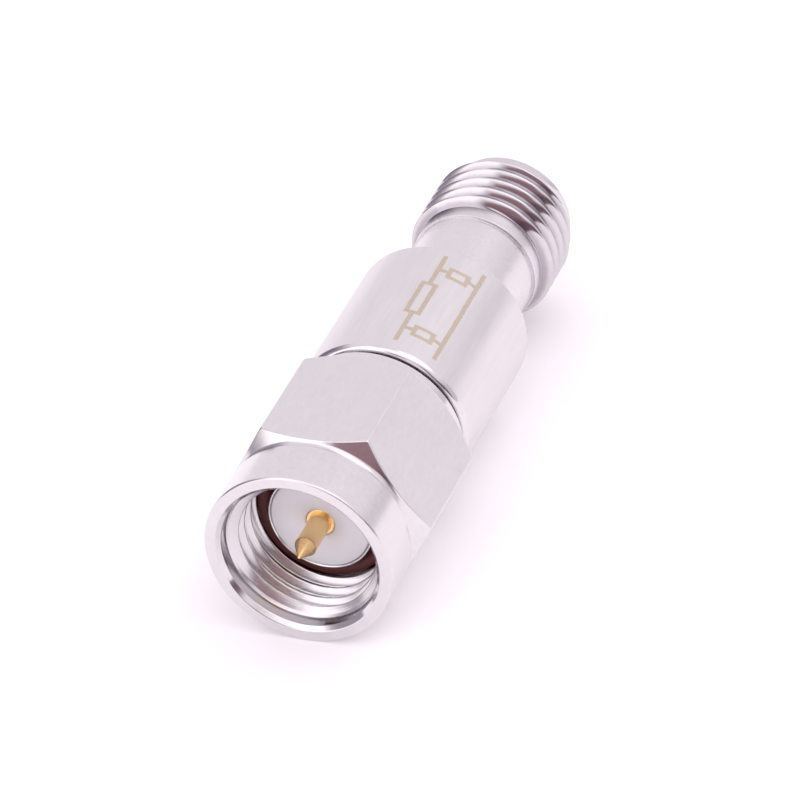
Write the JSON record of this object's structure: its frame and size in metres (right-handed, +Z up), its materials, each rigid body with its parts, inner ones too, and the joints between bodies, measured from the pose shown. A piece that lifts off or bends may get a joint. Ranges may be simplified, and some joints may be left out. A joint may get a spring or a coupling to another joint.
{
  "type": "coaxial attenuator",
  "caption": "In-line coaxial fixed attenuator, a plug with a spinning hexagon nut at one end and a threaded jack at the other, lowering the level of a radio signal.",
  "frame": {"origin": "on the axis at the plug's mating plane, where the centre pin leaves its insulator", "axes": "+X along the axis towards the jack, +Z up with the part lying on a flat of its nut"},
  "size_m": [0.026, 0.0092, 0.008],
  "materials": {
    "steel": "satin",
    "gold": "gold plated, satin",
    "spring_bronze": "satin",
    "ptfe": "matt",
    "silicone": "matt",
    "alumina": "matt"
  },
  "bodies": {
    "connector": {"housing": "steel", "male_shell": "steel", "gasket": "silicone", "male_insulator": "ptfe", "male_pin": "gold", "female_insulator": "ptfe", "female_socket": "gold", "attenuator_chip": "alumina", "carrier_upper": "spring_bronze", "carrier_lower": "spring_bronze"},
    "retainer": {"retaining_ring": "spring_bronze"},
    "nut": {"coupling_nut": "steel"}
  },
  "joints": [
    {"name": "nut_float", "type": "slide", "parent": "connector", "child": "retainer", "axis": [1, 0, 0], "range_m": [-0.00015, 0.00015]},
    {"name": "nut_spin", "type": "hinge", "parent": "retainer", "child": "nut", "pos_m": [0, 0, 0], "axis": [1, 0, 0], "continuous": true}
  ]
}
